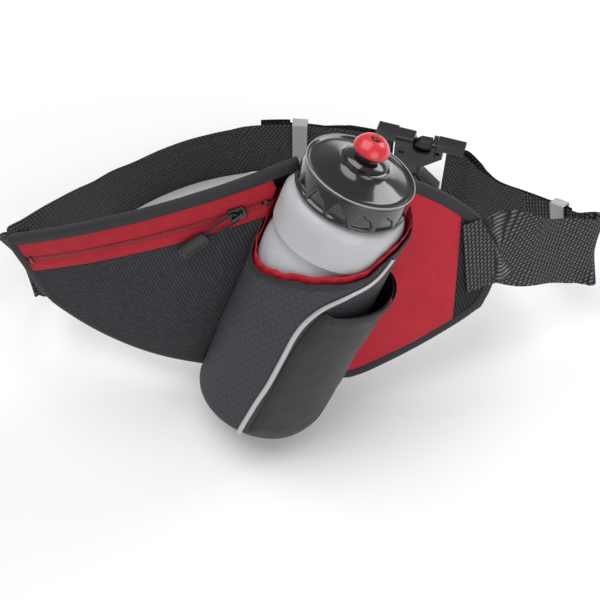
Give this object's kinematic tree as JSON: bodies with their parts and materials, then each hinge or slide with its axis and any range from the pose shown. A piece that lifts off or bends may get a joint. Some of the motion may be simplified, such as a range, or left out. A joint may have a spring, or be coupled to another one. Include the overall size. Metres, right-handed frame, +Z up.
{
  "type": "waist pack",
  "caption": "Running waist pack: bent padded panel, leaning bottle holster with capped bottle, zipped pocket, webbing belt and side-release buckle.",
  "frame": {"origin": "middle of the small flat on which the holster's heel rests, on the ground", "axes": "+X to the right along the pack seen from its front, +Y from the front towards the wearer, +Z up; the panel leans back 14.4 degrees and the bottle leans 19.3 degrees to +X in the panel's plane"},
  "size_m": [0.3821, 0.251, 0.2112],
  "materials": {
    "holster_fabric": "embossed charcoal softshell",
    "back_mesh": "padded spacer mesh",
    "pocket_knit": "ribbed stretch knit",
    "black_binding": "smooth woven edge tape",
    "red_cloth": "smooth red cloth",
    "red_zip_tape": "fine ribbed tape",
    "zip_nylon": "satin nylon coil",
    "black_metal": "gloss black enamel",
    "cord_cover": "braided cord cover",
    "pull_rubber": "satin moulded rubber",
    "elastic_web": "flecked elastic",
    "padding": "foam-backed cloth",
    "reflective": "silver reflective piping",
    "stretch_black": "smooth stretch cloth",
    "webbing": "charcoal woven webbing",
    "keeper_elastic": "silver-grey elastic",
    "buckle_plastic": "satin-gloss moulded plastic",
    "bottle_plastic": "frosted translucent plastic",
    "cap_plastic": "gloss moulded plastic",
    "seal_rubber": "soft seal",
    "mouthpiece_plastic": "soft gloss red"
  },
  "bodies": {
    "pack": {"back_panel": "back_mesh", "pocket_front": "pocket_knit", "zip_tape_upper": "red_zip_tape", "zip_tape_lower": "red_zip_tape", "zip_coil": "zip_nylon", "zip_stops": "black_metal", "edge_binding": "black_binding", "red_side_panel": "red_cloth", "side_tab": "elastic_web", "wing_padding": "padding", "holster_shell": "holster_fabric", "holster_base": "padding", "holster_lining": "red_cloth", "mouth_hem": "black_binding", "reflective_piping": "reflective", "side_pocket": "stretch_black", "side_pocket_elastic": "black_binding", "strap_left": "webbing", "strap_left_tail": "webbing", "tail_end_left": "webbing", "buckle_female": "buckle_plastic", "strap_right": "webbing"},
    "slider": {"zip_slider": "black_metal"},
    "pull": {"zip_pull_cord": "cord_cover", "zip_pull_tab": "pull_rubber"},
    "bottle": {"bottle_body": "bottle_plastic"},
    "seal": {"cap_seal": "seal_rubber"},
    "cap": {"bottle_cap": "cap_plastic", "nozzle_stem": "cap_plastic"},
    "nozzle": {"mouthpiece": "mouthpiece_plastic"},
    "left_keeper": {"keeper_left": "keeper_elastic"},
    "right_keeper": {"keeper_right": "keeper_elastic"},
    "buckle_plug": {"buckle_male": "buckle_plastic", "strap_right_end": "webbing", "strap_right_tail": "webbing"},
    "upper_prong": {"prong_upper": "buckle_plastic"},
    "lower_prong": {"prong_lower": "buckle_plastic"}
  },
  "joints": [
    {"name": "bottle_lift", "type": "slide", "parent": "pack", "child": "bottle", "axis": [0.3305, 0.2347, 0.9141], "range_m": [0, 0.205]},
    {"name": "cap_lift", "type": "slide", "parent": "bottle", "child": "seal", "axis": [0.3305, 0.2347, 0.9141], "range_m": [0, 0.005]},
    {"name": "cap_turn", "type": "hinge", "parent": "seal", "child": "cap", "pos_m": [0.03202, 0.02274, 0.1816], "axis": [0.3305, 0.2347, 0.9141], "range_deg": [0, 450]},
    {"name": "mouthpiece_pull", "type": "slide", "parent": "cap", "child": "nozzle", "axis": [0.3305, 0.2347, 0.9141], "range_m": [0, 0.0035]},
    {"name": "zip_slide", "type": "hinge", "parent": "pack", "child": "slider", "pos_m": [-0.03682, 0.48804, 0.03155], "axis": [-0.3746, 0.2306, 0.8981], "range_deg": [-16.2, 1]},
    {"name": "pull_lift", "type": "hinge", "parent": "slider", "child": "pull", "pos_m": [-0.03626, 0.01969, 0.15204], "axis": [-0.6428, 0.1899, 0.7421], "range_deg": [0, 100]},
    {"name": "keeper_left_slide", "type": "hinge", "parent": "pack", "child": "left_keeper", "pos_m": [-0.0148, 0.009, 0.0273], "axis": [0, 0, 1], "range_deg": [-4, 0.3]},
    {"name": "keeper_right_slide", "type": "slide", "parent": "pack", "child": "right_keeper", "axis": [-0.6613, 0.6613, -0.3542], "range_m": [-0.006, 0.01]},
    {"name": "buckle_release", "type": "slide", "parent": "pack", "child": "buckle_plug", "axis": [0.9511, -0.309, 0], "range_m": [0, 0.036], "deforming": ["strap_right_end", "strap_right_tail", "prong_upper", "prong_lower"]},
    {"name": "prong_upper_press", "type": "hinge", "parent": "buckle_plug", "child": "upper_prong", "pos_m": [0.09903, 0.15676, 0.054], "axis": [-0.309, -0.9511, 0], "range_deg": [0, 7], "stiffness_Nm_per_rad": 0.6},
    {"name": "prong_lower_press", "type": "hinge", "parent": "buckle_plug", "child": "lower_prong", "pos_m": [0.09903, 0.15676, 0.008], "axis": [-0.309, -0.9511, 0], "range_deg": [-7, 0], "stiffness_Nm_per_rad": 0.6}
  ],
  "couplings": [
    {"joint": "cap_lift", "follows": "cap_turn", "m_per_rad": 0.00063662},
    {"joint": "prong_lower_press", "follows": "prong_upper_press", "ratio": -1}
  ]
}
